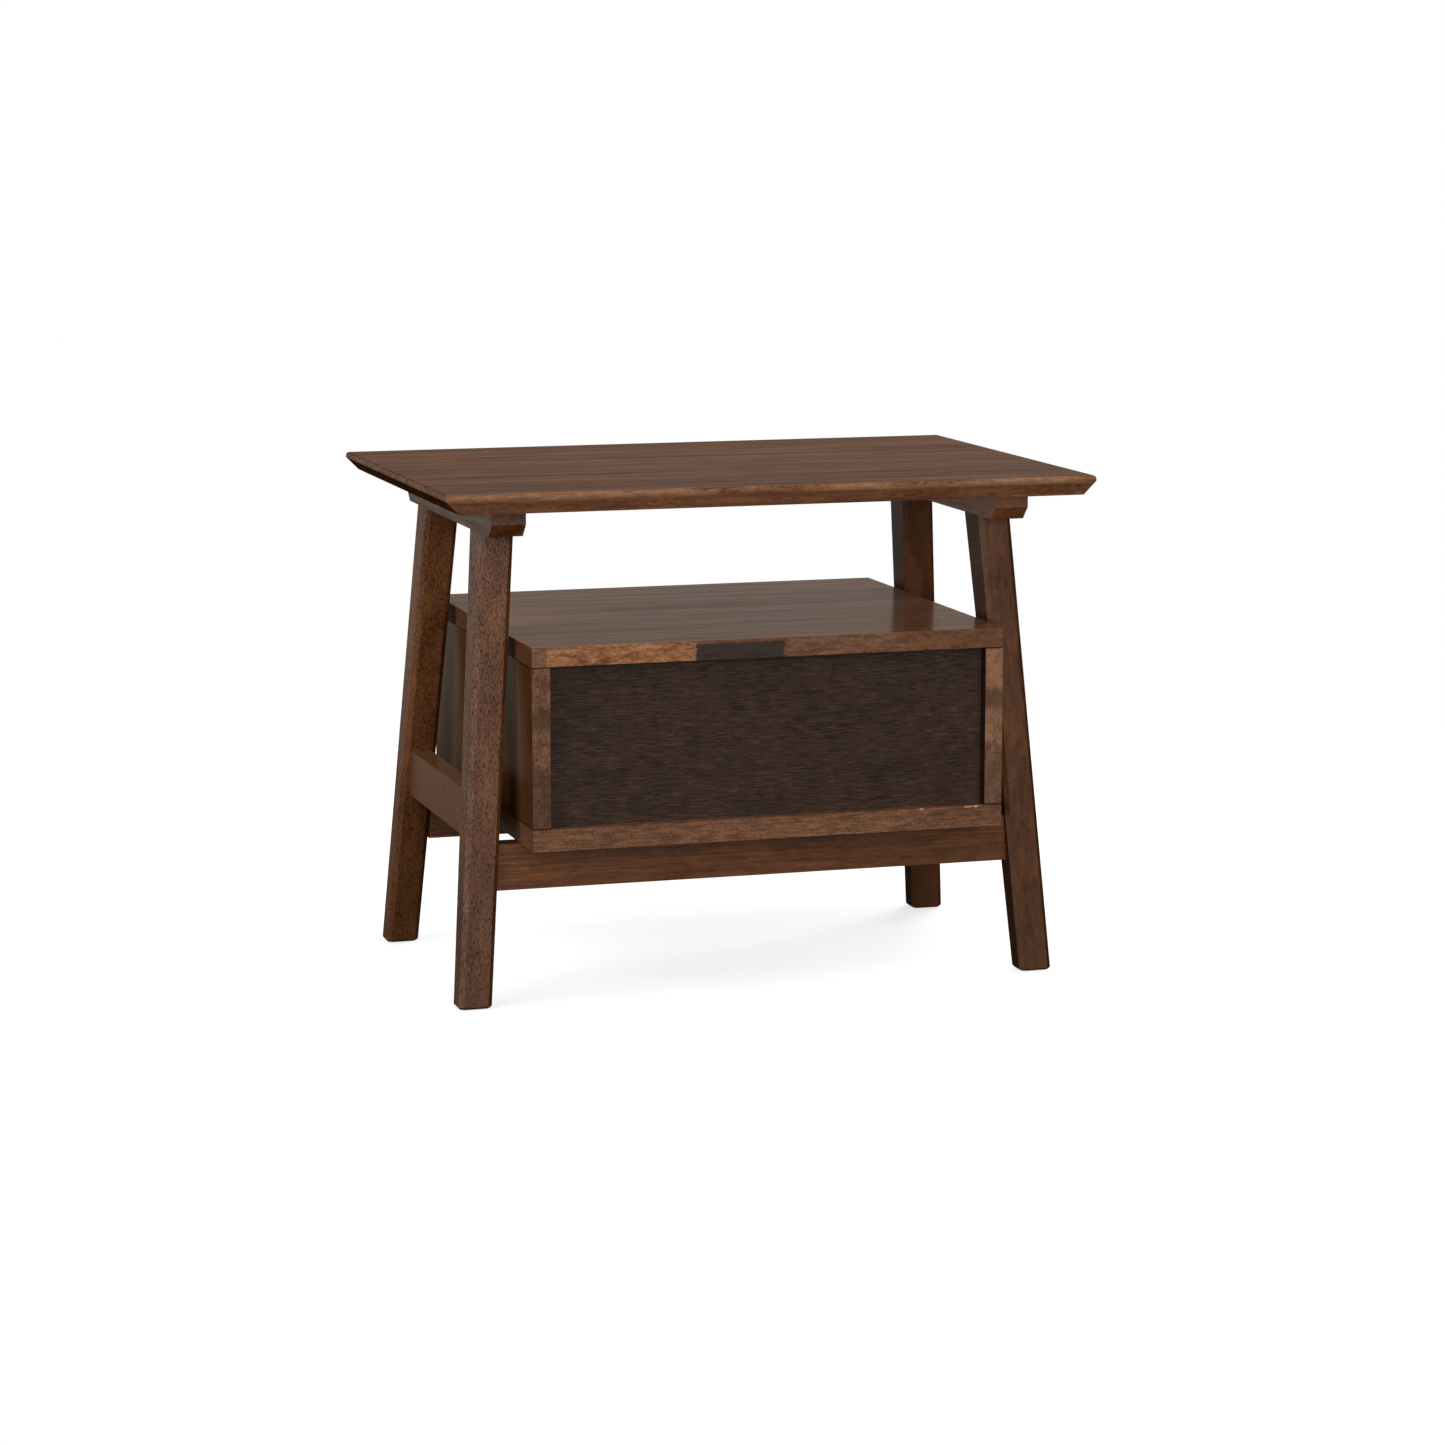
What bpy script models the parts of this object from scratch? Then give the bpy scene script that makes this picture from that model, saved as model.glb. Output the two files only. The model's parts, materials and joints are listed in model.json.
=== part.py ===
"""Side table with one drawer: splayed tapered legs, a bevelled top on two bearers, and a drawer case.

Metres, +Z up. The origin is on the floor under the middle of the table. The drawer opens towards -Y,
so left is -X and right is +X for a person who faces the drawer.
"""

import math

import bmesh
import bpy
from mathutils import Matrix, Vector

# Driving dimensions ---------------------------------------------------------------------------------
HEIGHT, WIDTH, DEPTH = 0.500, 0.645, 0.445
GAP = 0.0003  # clearance between two faces that meet

TOP_THICK = 0.0185
TOP_END_BEVEL = 0.013  # 45 degree bevel under each short end
TOP_ROUND = 0.003

BEARER_WIDE, BEARER_HIGH, BEARER_LONG = 0.0335, 0.0275, 0.357
BEARER_CHAMFER = 0.0125

LEG_WIDE = 0.033
LEG_CENTRE_FOOT, LEG_CENTRE_HEAD = 0.2868, 0.2522  # in X, so the legs splay sideways
LEG_OUTER_FOOT, LEG_OUTER_HEAD = 0.172, 0.134  # in Y, the face away from the middle
LEG_INNER_FOOT, LEG_INNER_HEAD = 0.144, 0.088  # in Y, the face towards the middle
LEG_CHAMFER, FOOT_CHAMFER = 0.0045, 0.002

GLIDE_DROP, GLIDE_POCKET, GLIDE_RADIUS, GLIDE_RIM = 0.0010, 0.0018, 0.009, 0.0009
GLIDE_NAIL_RADIUS, GLIDE_NAIL_LONG = 0.0014, 0.014

LONG_RAIL_THICK, LONG_RAIL_HIGH, LONG_RAIL_BASE = 0.0225, 0.045, 0.111
LONG_RAIL_OUTER = 0.1505
SIDE_RAIL_THICK, SIDE_RAIL_HIGH, SIDE_RAIL_BASE = 0.020, 0.0465, 0.1573
SIDE_RAIL_OUTER = 0.2812
TENON_THICK, TENON_LONG, TENON_SHOULDER = 0.010, 0.014, 0.007
HEAD_TENON_HALF_X, HEAD_TENON_HALF_Y = 0.011, 0.015

CASE_WIDE, CASE_DEEP, CASE_TOP = 0.473, 0.400, 0.3518
LID_THICK, FLOOR_THICK, SIDE_THICK = 0.019, 0.021, 0.018
PANEL_THICK, PANEL_INSET, GROOVE = 0.005, 0.012, 0.006
DOWEL_RADIUS, DOWEL_IN_SIDE, DOWEL_IN_BOARD, DOWEL_Y = 0.004, 0.017, 0.012, 0.120

DRAWER_REVEAL = 0.002  # gap all round the drawer front
FRONT_THICK, FRONT_SET_BACK = 0.018, 0.0005
NOTCH_WIDE, NOTCH_DEEP, NOTCH_CORNER = 0.100, 0.020, 0.010
BOX_THICK, BOX_BASE, BOX_HIGH, BOX_LONG = 0.012, 0.190, 0.110, 0.349
BOX_BACK_DROP = 0.008  # the drawer's back is this much lower than its sides
PLY_THICK, PLY_RISE = 0.005, 0.010  # drawer bottom, and its height above the box's lower edge

SLIDE_SPACE, SLIDE_LONG, SLIDE_CENTRE = 0.013, 0.347, 0.240
SHEET = 0.0012
CABINET_MEMBER = dict(half=0.0225, web=0.0003, lip=0.0100)
MIDDLE_MEMBER = dict(half=0.0183, web=0.0034, lip=0.0095)
DRAWER_MEMBER = dict(half=0.0141, web=0.0127, lip=0.0062)
SLIDE_SCREW_Y = (-0.130, 0.110)

# Screws: shank radius, length under the head, head radius and head height
SLIDE_SCREW = dict(shank=0.0016, long=0.0105, head=0.0034, head_high=0.0010)
TOP_SCREW = dict(shank=0.0022, long=0.033, head=0.0045, head_high=0.0026)
CASE_SCREW = dict(shank=0.0022, long=0.038, head=0.0045, head_high=0.0026)
DRAWER_FRONT_SCREW = dict(shank=0.0020, long=0.024, head=0.0042, head_high=0.0024)
TOP_SCREW_Y, TOP_SCREW_RECESS = 0.060, 0.008  # the recess is how deep the head sits in the bearer
CASE_SCREW_X, CASE_SCREW_RECESS = 0.170, 0.022
DRAWER_FRONT_SCREW_X = 0.120
COUNTERBORE = 0.030  # longer than any recess, so that the hole opens through the lower face

ROUND_STEPS = 12  # sides of every turned piece
AXIS_MERGE = 0.00001

# Worked-out places ----------------------------------------------------------------------------------
TOP_UNDER = HEIGHT - TOP_THICK
BEARER_TOP = TOP_UNDER - GAP
BEARER_BASE = BEARER_TOP - BEARER_HIGH
LEG_HEAD = BEARER_BASE - GAP
LONG_RAIL_TOP = LONG_RAIL_BASE + LONG_RAIL_HIGH
CASE_BASE = LONG_RAIL_TOP + GAP
FLOOR_TOP = CASE_BASE + FLOOR_THICK
LID_BASE = CASE_TOP - LID_THICK
CASE_SIDE_IN = CASE_WIDE / 2 - SIDE_THICK
PANEL_OUTER = CASE_DEEP / 2 - PANEL_INSET
FRONT_Y = -CASE_DEEP / 2 + FRONT_SET_BACK
BOX_FRONT_Y = FRONT_Y + FRONT_THICK + GAP
BOX_SIDE_OUT = CASE_SIDE_IN - SLIDE_SPACE
BOX_SIDE_IN = BOX_SIDE_OUT - BOX_THICK


def clear_scene():
    for obj in list(bpy.data.objects):
        bpy.data.objects.remove(obj)


def new_collection(name):
    made = bpy.data.collections.new(name)
    bpy.context.scene.collection.children.link(made)
    return made


def new_material(name, colour, roughness, metallic=0.0):
    made = bpy.data.materials.new(name)
    made.use_nodes = True
    shader = made.node_tree.nodes["Principled BSDF"]
    shader.inputs["Base Color"].default_value = (*colour, 1.0)
    shader.inputs["Roughness"].default_value = roughness
    shader.inputs["Metallic"].default_value = metallic
    return made


clear_scene()
PARTS = new_collection("side_table")
CUTTERS = new_collection("side_table_cutters")
STAINED = new_material("stained_acacia", (0.115, 0.058, 0.034), 0.34)
SHELF = new_material("stained_boards", (0.105, 0.058, 0.038), 0.30)
BACKING = new_material("stained_plywood", (0.038, 0.024, 0.017), 0.55)
PALE = new_material("drawer_hardwood", (0.46, 0.31, 0.18), 0.50)
STEEL = new_material("zinc_steel", (0.62, 0.62, 0.60), 0.30, 1.0)
NYLON = new_material("black_nylon", (0.03, 0.03, 0.03), 0.45)


# Making pieces --------------------------------------------------------------------------------------
def add_piece(name, mesh, material, place=(0, 0, 0)):
    """A named part, at its place, shown with its own material."""
    obj = bpy.data.objects.new(name, mesh)
    obj.location = place
    if material is None:
        CUTTERS.objects.link(obj)
        obj.hide_render = True
        obj.display_type = "WIRE"
    else:
        PARTS.objects.link(obj)
        mesh.materials.append(material)
    return obj


def box_mesh(name, size):
    mesh = bpy.data.meshes.new(name)
    work = bmesh.new()
    bmesh.ops.create_cube(work, size=1.0, matrix=Matrix.Diagonal((*size, 1.0)))
    work.to_mesh(mesh)
    work.free()
    return mesh


def add_box(name, low, high, material):
    """A square board between two corners, with its origin at its middle."""
    low, high = Vector(low), Vector(high)
    return add_piece(name, box_mesh(name, high - low), material, (low + high) / 2)


def bevel_edges(mesh, chosen, width, segments=1):
    """Bevels the edges for which chosen(edge) is true, in the mesh's own units."""
    work = bmesh.new()
    work.from_mesh(mesh)
    edges = [edge for edge in work.edges if chosen(edge)]
    bmesh.ops.bevel(
        work, geom=edges, offset=width, offset_type="OFFSET", segments=segments, profile=0.5, affect="EDGES"
    )
    work.to_mesh(mesh)
    work.free()


def spans(edge, axis):
    """True if the edge runs mostly along that axis, 0 to 2."""
    along = edge.verts[1].co - edge.verts[0].co
    return abs(along[axis]) > 0.7 * along.length


def turned(name, profile, material, place, aim=(0, 0, 1)):
    """A turned piece from (radius, height) points that run down its outer side, stood along aim."""
    mesh = bpy.data.meshes.new(name)
    points = [(radius, 0.0, height) for radius, height in profile]
    mesh.from_pydata(points, [(i, i + 1) for i in range(len(points) - 1)], [])
    obj = add_piece(name, mesh, material, place)
    obj.rotation_mode = "QUATERNION"
    obj.rotation_quaternion = Vector((0, 0, 1)).rotation_difference(Vector(aim))
    lathe = obj.modifiers.new("turn", "SCREW")
    lathe.steps = lathe.render_steps = ROUND_STEPS
    lathe.use_merge_vertices = True
    lathe.merge_threshold = AXIS_MERGE
    lathe.use_smooth_shade = True
    return obj


def cut(target, cutter, operation="DIFFERENCE"):
    boolean = target.modifiers.new(cutter.name, "BOOLEAN")
    boolean.operation = operation
    boolean.object = cutter


def slot_for(name, low, high):
    """A cutter that leaves GAP all round what lies between two corners."""
    ease = Vector((GAP, GAP, GAP))
    return add_box(name, Vector(low) - ease, Vector(high) + ease, None)


def screw_profile(shank, long, head, head_high, ease=0.0, sink=0.0):
    """From the head's top, at sink above the seat, to the point. Height 0 is the seat under the head."""
    tip = 2.0 * shank
    return [
        (0.0, head_high + sink + ease),
        (head + ease, head_high + sink + ease),
        (head + ease, -ease),
        (shank + ease, -ease),
        (shank + ease, -long + tip),
        (0.0, -long - ease),
    ]


def add_screw(name, seat, aim, targets, shank, long, head, head_high, sink=0.0):
    """A screw whose head sits at seat and whose head points along aim, and the hole that it needs."""
    turned(name, screw_profile(shank, long, head, head_high), STEEL, seat, aim)
    hole = turned(name + "_hole", screw_profile(shank, long, head, head_high, GAP, sink), None, seat, aim)
    for target in targets:
        cut(target, hole)


# Table top and bearers ------------------------------------------------------------------------------
def make_top():
    half_w, half_d, half_t = WIDTH / 2, DEPTH / 2, TOP_THICK / 2
    top = add_box("table_top", (-half_w, -half_d, TOP_UNDER), (half_w, half_d, HEIGHT), STAINED)
    bevel_edges(
        top.data, lambda e: spans(e, 1) and all(v.co.z < 0 for v in e.verts), TOP_END_BEVEL
    )
    bevel_edges(
        top.data, lambda e: all(v.co.z > half_t - GAP for v in e.verts), TOP_ROUND, 2
    )
    return top


def make_bearer(side, sign):
    centre = sign * LEG_CENTRE_HEAD
    low = (centre - BEARER_WIDE / 2, -BEARER_LONG / 2, BEARER_BASE)
    high = (centre + BEARER_WIDE / 2, BEARER_LONG / 2, BEARER_TOP)
    bearer = add_box(f"bearer_{side}", low, high, STAINED)
    bevel_edges(
        bearer.data, lambda e: spans(e, 0) and all(v.co.z < 0 for v in e.verts), BEARER_CHAMFER
    )
    return bearer


# Legs -----------------------------------------------------------------------------------------------
def between(foot, head, z):
    return foot + (head - foot) * z / LEG_HEAD


def leg_face_x(z, across):
    """X of the leg's inner (across -1) or outer (across +1) sideways face at height z."""
    return between(LEG_CENTRE_FOOT, LEG_CENTRE_HEAD, z) + across * LEG_WIDE / 2


def leg_face_y(z, outer):
    if outer:
        return between(LEG_OUTER_FOOT, LEG_OUTER_HEAD, z)
    return between(LEG_INNER_FOOT, LEG_INNER_HEAD, z)


def make_leg(name, sign_x, sign_y):
    """A board that tapers and leans both ways: a cube whose corners are moved to the leg's faces."""
    foot = Vector((sign_x * LEG_CENTRE_FOOT, sign_y * (LEG_OUTER_FOOT + LEG_INNER_FOOT) / 2, GLIDE_DROP))
    mesh = bpy.data.meshes.new(name)
    work = bmesh.new()
    bmesh.ops.create_cube(work, size=2.0)
    for vert in work.verts:
        z = LEG_HEAD if vert.co.z > 0 else GLIDE_DROP
        x = sign_x * leg_face_x(z, vert.co.x)
        y = sign_y * leg_face_y(z, vert.co.y > 0)
        vert.co = Vector((x, y, z)) - foot
    bmesh.ops.recalc_face_normals(work, faces=work.faces)
    work.to_mesh(mesh)
    work.free()
    leg = add_piece(name, mesh, STAINED, foot)
    bevel_edges(mesh, lambda e: spans(e, 2), LEG_CHAMFER)
    bevel_edges(mesh, lambda e: all(v.co.z < GAP for v in e.verts), FOOT_CHAMFER)
    return leg


def add_head_tenon(leg, bearer, sign_x, sign_y):
    """A stub tenon on the leg's head, in a blind mortise in the bearer."""
    middle = (LEG_OUTER_HEAD + LEG_INNER_HEAD) / 2
    half = Vector((HEAD_TENON_HALF_X, HEAD_TENON_HALF_Y, 0))
    centre = Vector((sign_x * LEG_CENTRE_HEAD, sign_y * middle, 0))
    low = centre - half + Vector((0, 0, LEG_HEAD - TENON_LONG))
    high = centre + half + Vector((0, 0, LEG_HEAD + TENON_LONG))
    cut(leg, add_box(leg.name + "_head_tenon", low, high, None), "UNION")
    cut(bearer, slot_for(leg.name + "_head_mortise", low, high))


def add_glide(leg, name):
    """A nylon disc on a nail, in a shallow pocket under the foot."""
    disc_top = GLIDE_DROP + GLIDE_POCKET

    def profile(ease):
        return [
            (0.0, disc_top + GLIDE_NAIL_LONG + ease),
            (GLIDE_NAIL_RADIUS + ease, disc_top + GLIDE_NAIL_LONG - GLIDE_NAIL_RADIUS + ease),
            (GLIDE_NAIL_RADIUS + ease, disc_top + ease),
            (GLIDE_RADIUS + ease, disc_top + ease),
            (GLIDE_RADIUS + ease, GLIDE_RIM - ease),
            (GLIDE_RADIUS - GLIDE_RIM + ease, -ease),
            (0.0, -ease),
        ]

    place = (leg.location.x, leg.location.y, 0.0)
    turned(name, profile(0.0), NYLON, place)
    cut(leg, turned(name + "_pocket", profile(GAP), None, place))


# Rails ----------------------------------------------------------------------------------------------
def fit_ends(rail, axis, end_at):
    """Moves a rail's end corners so that each end lies on the slanted leg face, end_at(z)."""
    for vert in rail.data.vertices:
        z = vert.co.z + rail.location.z
        vert.co[axis] = math.copysign(end_at(z) - GAP, vert.co[axis])


def add_rail_tenons(rail, legs, axis, low, high, end_at):
    """A tenon at each end of a rail, between the given corners across it, and the leg's mortise."""
    face = end_at((low[2] + high[2]) / 2)
    for leg, sign in legs:
        a, b = list(low), list(high)
        a[axis], b[axis] = sorted((sign * (face - TENON_LONG), sign * (face + TENON_LONG)))
        cut(rail, add_box(f"{rail.name}_{leg.name}_tenon", a, b, None), "UNION")
        cut(leg, slot_for(f"{rail.name}_{leg.name}_mortise", a, b))


def make_long_rail(place, sign, legs):
    """Runs left to right under the drawer case, between two legs."""
    inner, outer = LONG_RAIL_OUTER - LONG_RAIL_THICK, LONG_RAIL_OUTER
    y_low, y_high = sorted((sign * inner, sign * outer))
    rail = add_box(
        f"{place}_rail", (-LEG_CENTRE_HEAD, y_low, LONG_RAIL_BASE), (LEG_CENTRE_HEAD, y_high, LONG_RAIL_TOP),
        STAINED,
    )

    def end_at(z):
        return leg_face_x(z, -1)

    fit_ends(rail, 0, end_at)
    middle = (y_low + y_high) / 2
    low = (0, middle - TENON_THICK / 2, LONG_RAIL_BASE + TENON_SHOULDER)
    high = (0, middle + TENON_THICK / 2, LONG_RAIL_TOP - TENON_SHOULDER)
    add_rail_tenons(rail, legs, 0, low, high, end_at)
    return rail


def make_side_rail(side, sign, legs):
    """Runs front to back beside the drawer case, between two legs."""
    x_low, x_high = sorted((sign * (SIDE_RAIL_OUTER - SIDE_RAIL_THICK), sign * SIDE_RAIL_OUTER))
    top = SIDE_RAIL_BASE + SIDE_RAIL_HIGH
    rail = add_box(
        f"side_rail_{side}", (x_low, -LEG_INNER_HEAD, SIDE_RAIL_BASE), (x_high, LEG_INNER_HEAD, top), STAINED
    )

    def end_at(z):
        return leg_face_y(z, False)

    fit_ends(rail, 1, end_at)
    middle = (x_low + x_high) / 2
    low = (middle - TENON_THICK / 2, 0, SIDE_RAIL_BASE + TENON_SHOULDER)
    high = (middle + TENON_THICK / 2, 0, top - TENON_SHOULDER)
    add_rail_tenons(rail, legs, 1, low, high, end_at)
    return rail


# Drawer case ----------------------------------------------------------------------------------------
def make_case():
    half_w, half_d = CASE_WIDE / 2, CASE_DEEP / 2
    boards = {
        "lid": add_box("case_lid", (-half_w, -half_d, LID_BASE), (half_w, half_d, CASE_TOP), SHELF),
        "floor": add_box("case_floor", (-half_w, -half_d, CASE_BASE), (half_w, half_d, FLOOR_TOP), STAINED),
    }
    for side, sign in (("left", -1), ("right", 1)):
        x_low, x_high = sorted((sign * CASE_SIDE_IN, sign * half_w))
        boards[side] = add_box(
            f"case_side_{side}", (x_low, -half_d, FLOOR_TOP + GAP), (x_high, half_d, LID_BASE - GAP), STAINED
        )
    reach = GROOVE - GAP
    low = (-CASE_SIDE_IN - reach, PANEL_OUTER - PANEL_THICK, FLOOR_TOP - reach)
    high = (CASE_SIDE_IN + reach, PANEL_OUTER, LID_BASE + reach)
    add_box("case_back_panel", low, high, BACKING)
    groove = slot_for("case_back_groove", low, high)
    for board in boards.values():
        cut(board, groove)
    return boards


def rod_profile(radius, low, high):
    return [(0.0, high), (radius, high), (radius, low), (0.0, low)]


def add_dowels(boards):
    """Beech pins that line up the sides with the lid and the floor."""
    for side, sign in (("left", -1), ("right", 1)):
        x = sign * (CASE_WIDE - SIDE_THICK) / 2
        for where, y in (("front", -DOWEL_Y), ("back", DOWEL_Y)):
            for level, board, joint, up in (("upper", "lid", LID_BASE, 1), ("lower", "floor", FLOOR_TOP, -1)):
                ends = sorted((joint - up * DOWEL_IN_SIDE, joint + up * DOWEL_IN_BOARD))
                name = f"dowel_{level}_{side}_{where}"
                pin_profile = rod_profile(DOWEL_RADIUS, *ends)
                turned(name, pin_profile, PALE, (x, y, 0.0))
                hole_profile = rod_profile(DOWEL_RADIUS + GAP, ends[0] - GAP, ends[1] + GAP)
                hole = turned(name + "_hole", hole_profile, None, (x, y, 0.0))
                cut(boards[side], hole)
                cut(boards[board], hole)


# Drawer ---------------------------------------------------------------------------------------------
def make_drawer_front():
    """An inset front with a round-cornered finger notch in its upper edge."""
    half = CASE_SIDE_IN - DRAWER_REVEAL
    top = LID_BASE - DRAWER_REVEAL
    low = (-half, FRONT_Y, FLOOR_TOP + DRAWER_REVEAL)
    high = (half, FRONT_Y + FRONT_THICK, top)
    front = add_box("drawer_front", low, high, STAINED)
    notch = add_box(
        "finger_notch",
        (-NOTCH_WIDE / 2, FRONT_Y - FRONT_THICK, top - NOTCH_DEEP),
        (NOTCH_WIDE / 2, FRONT_Y + 2 * FRONT_THICK, top + NOTCH_DEEP),
        None,
    )
    bevel_edges(
        notch.data, lambda e: spans(e, 1) and all(v.co.z < 0 for v in e.verts), NOTCH_CORNER, 4
    )
    cut(front, notch)
    return front


def make_drawer_box():
    back_y = BOX_FRONT_Y + BOX_LONG
    top = BOX_BASE + BOX_HIGH
    ply_low = BOX_BASE + PLY_RISE
    between_sides = BOX_SIDE_IN - GAP
    box = {
        "front": add_box(
            "drawer_box_front",
            (-between_sides, BOX_FRONT_Y, BOX_BASE),
            (between_sides, BOX_FRONT_Y + BOX_THICK, top),
            PALE,
        ),
        "back": add_box(
            "drawer_box_back",
            (-between_sides, back_y - BOX_THICK, ply_low + PLY_THICK + GAP),
            (between_sides, back_y, top - BOX_BACK_DROP),
            PALE,
        ),
    }
    for side, sign in (("left", -1), ("right", 1)):
        x_low, x_high = sorted((sign * BOX_SIDE_IN, sign * BOX_SIDE_OUT))
        box[side] = add_box(
            f"drawer_box_side_{side}", (x_low, BOX_FRONT_Y, BOX_BASE), (x_high, back_y, top), PALE
        )
    reach = GROOVE - GAP
    low = (-BOX_SIDE_IN - reach, BOX_FRONT_Y + BOX_THICK - reach, ply_low)
    high = (BOX_SIDE_IN + reach, back_y, ply_low + PLY_THICK)
    add_box("drawer_bottom", low, high, PALE)
    groove = slot_for("drawer_bottom_groove", low, (high[0], high[1] + GROOVE, high[2]))
    for piece in ("front", "left", "right"):
        cut(box[piece], groove)
    return box


# Ball bearing slides --------------------------------------------------------------------------------
def channel(name, sign, half, web, lip):
    """A folded steel channel along Y: a web beside the case wall or the drawer, and two flanges."""
    turn = math.copysign(SHEET, lip - web)
    outline = [
        (web, -half), (lip, -half), (lip, -half + SHEET), (web + turn, -half + SHEET),
        (web + turn, half - SHEET), (lip, half - SHEET), (lip, half), (web, half),
    ]
    curve = bpy.data.curves.new(name + "_outline", "CURVE")
    curve.dimensions = "2D"
    curve.fill_mode = "BOTH"
    curve.extrude = SLIDE_LONG / 2
    line = curve.splines.new("POLY")
    line.points.add(len(outline) - 1)
    for point, (inward, up) in zip(line.points, outline):
        point.co = (sign * (CASE_SIDE_IN - inward), up, 0.0, 1.0)
    line.use_cyclic_u = True
    guide = bpy.data.objects.new(name + "_outline", curve)
    CUTTERS.objects.link(guide)
    guide.rotation_euler = (math.pi / 2, 0.0, 0.0)
    guide.location = (0.0, BOX_FRONT_Y + SLIDE_LONG / 2, SLIDE_CENTRE)
    bpy.context.view_layer.update()
    graph = bpy.context.evaluated_depsgraph_get()
    mesh = bpy.data.meshes.new_from_object(guide.evaluated_get(graph))
    work = bmesh.new()
    work.from_mesh(mesh)
    bmesh.ops.remove_doubles(work, verts=work.verts, dist=AXIS_MERGE)
    bmesh.ops.recalc_face_normals(work, faces=work.faces)
    work.to_mesh(mesh)
    work.free()
    member = add_piece(name, mesh, STEEL)
    member.matrix_world = guide.matrix_world.copy()
    bpy.data.objects.remove(guide)
    return member


def make_slides(boards, box):
    for side, sign in (("left", -1), ("right", 1)):
        fixed = channel(f"slide_{side}_cabinet_member", sign, **CABINET_MEMBER)
        channel(f"slide_{side}_middle_member", sign, **MIDDLE_MEMBER)
        moving = channel(f"slide_{side}_drawer_member", sign, **DRAWER_MEMBER)
        seat_fixed = sign * (CASE_SIDE_IN - CABINET_MEMBER["web"] - SHEET - GAP)
        seat_moving = sign * (CASE_SIDE_IN - DRAWER_MEMBER["web"] + SHEET + GAP)
        for where, y in zip(("front", "back"), SLIDE_SCREW_Y):
            add_screw(
                f"slide_screw_{side}_case_{where}", (seat_fixed, y, SLIDE_CENTRE), (-sign, 0, 0),
                (fixed, boards[side]), **SLIDE_SCREW,
            )
            add_screw(
                f"slide_screw_{side}_drawer_{where}", (seat_moving, y, SLIDE_CENTRE), (sign, 0, 0),
                (moving, box[side]), **SLIDE_SCREW,
            )


# Fasteners ------------------------------------------------------------------------------------------
def add_frame_screws(top, bearers, rails, boards):
    for side, sign in (("left", -1), ("right", 1)):
        for where, y in (("front", -TOP_SCREW_Y), ("middle", 0.0), ("back", TOP_SCREW_Y)):
            seat = (sign * LEG_CENTRE_HEAD, y, BEARER_BASE + TOP_SCREW_RECESS)
            add_screw(
                f"top_screw_{side}_{where}", seat, (0, 0, -1), (bearers[side], top),
                sink=COUNTERBORE, **TOP_SCREW,
            )
        for where, rail_sign in (("front", -1), ("back", 1)):
            rail_y = rail_sign * (LONG_RAIL_OUTER - LONG_RAIL_THICK / 2)
            seat = (sign * CASE_SCREW_X, rail_y, LONG_RAIL_BASE + CASE_SCREW_RECESS)
            add_screw(
                f"case_screw_{side}_{where}", seat, (0, 0, -1), (rails[where], boards["floor"]),
                sink=COUNTERBORE, **CASE_SCREW,
            )


def add_drawer_front_screws(front, box):
    for side, sign in (("left", -1), ("right", 1)):
        seat = (sign * DRAWER_FRONT_SCREW_X, BOX_FRONT_Y + BOX_THICK + GAP, BOX_BASE + BOX_HIGH / 2)
        add_screw(
            f"drawer_front_screw_{side}", seat, (0, 1, 0), (box["front"], front), **DRAWER_FRONT_SCREW
        )


def shade_smooth(obj):
    """Round faces look round, and edges over 30 degrees stay sharp."""
    obj.data.shade_smooth()
    obj.data.set_sharp_from_angle(angle=math.radians(30))


def main():
    top = make_top()
    bearers = {side: make_bearer(side, sign) for side, sign in (("left", -1), ("right", 1))}
    legs = {}
    for where, sign_y in (("front", -1), ("back", 1)):
        for side, sign_x in (("left", -1), ("right", 1)):
            leg = make_leg(f"leg_{where}_{side}", sign_x, sign_y)
            add_head_tenon(leg, bearers[side], sign_x, sign_y)
            add_glide(leg, f"glide_{where}_{side}")
            legs[where, side] = leg
    rails = {}
    for where, sign in (("front", -1), ("back", 1)):
        ends = [(legs[where, "left"], -1), (legs[where, "right"], 1)]
        rails[where] = make_long_rail(where, sign, ends)
    for side, sign in (("left", -1), ("right", 1)):
        ends = [(legs["front", side], -1), (legs["back", side], 1)]
        make_side_rail(side, sign, ends)
    boards = make_case()
    add_dowels(boards)
    front = make_drawer_front()
    box = make_drawer_box()
    make_slides(boards, box)
    add_frame_screws(top, bearers, rails, boards)
    add_drawer_front_screws(front, box)
    for obj in PARTS.objects:
        shade_smooth(obj)


main()
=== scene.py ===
"""Looks of the side table: stained wood, plywood, plain hardwood, zinc-plated slides, and the studio.

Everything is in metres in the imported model's frame: the floor is z = 0 and the drawer opens towards -Y.
"""

import json
import math

import bmesh
import bpy
from mathutils import Matrix, Vector


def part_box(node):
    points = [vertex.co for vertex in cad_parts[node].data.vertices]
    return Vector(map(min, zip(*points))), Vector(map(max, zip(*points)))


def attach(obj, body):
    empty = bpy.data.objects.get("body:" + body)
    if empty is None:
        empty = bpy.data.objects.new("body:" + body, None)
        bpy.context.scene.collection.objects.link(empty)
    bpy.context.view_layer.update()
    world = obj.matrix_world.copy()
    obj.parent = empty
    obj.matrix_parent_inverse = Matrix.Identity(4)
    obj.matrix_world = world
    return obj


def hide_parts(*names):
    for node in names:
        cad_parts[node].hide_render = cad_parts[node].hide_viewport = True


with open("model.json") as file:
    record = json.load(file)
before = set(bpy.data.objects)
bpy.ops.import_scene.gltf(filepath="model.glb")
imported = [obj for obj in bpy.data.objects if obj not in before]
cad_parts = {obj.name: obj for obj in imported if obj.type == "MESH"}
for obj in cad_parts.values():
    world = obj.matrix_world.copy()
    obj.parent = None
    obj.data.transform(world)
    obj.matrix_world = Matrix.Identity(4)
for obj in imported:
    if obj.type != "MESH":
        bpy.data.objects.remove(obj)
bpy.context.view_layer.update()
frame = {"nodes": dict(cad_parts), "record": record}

X, Y, Z = Vector((1, 0, 0)), Vector((0, 1, 0)), Vector((0, 0, 1))

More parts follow.
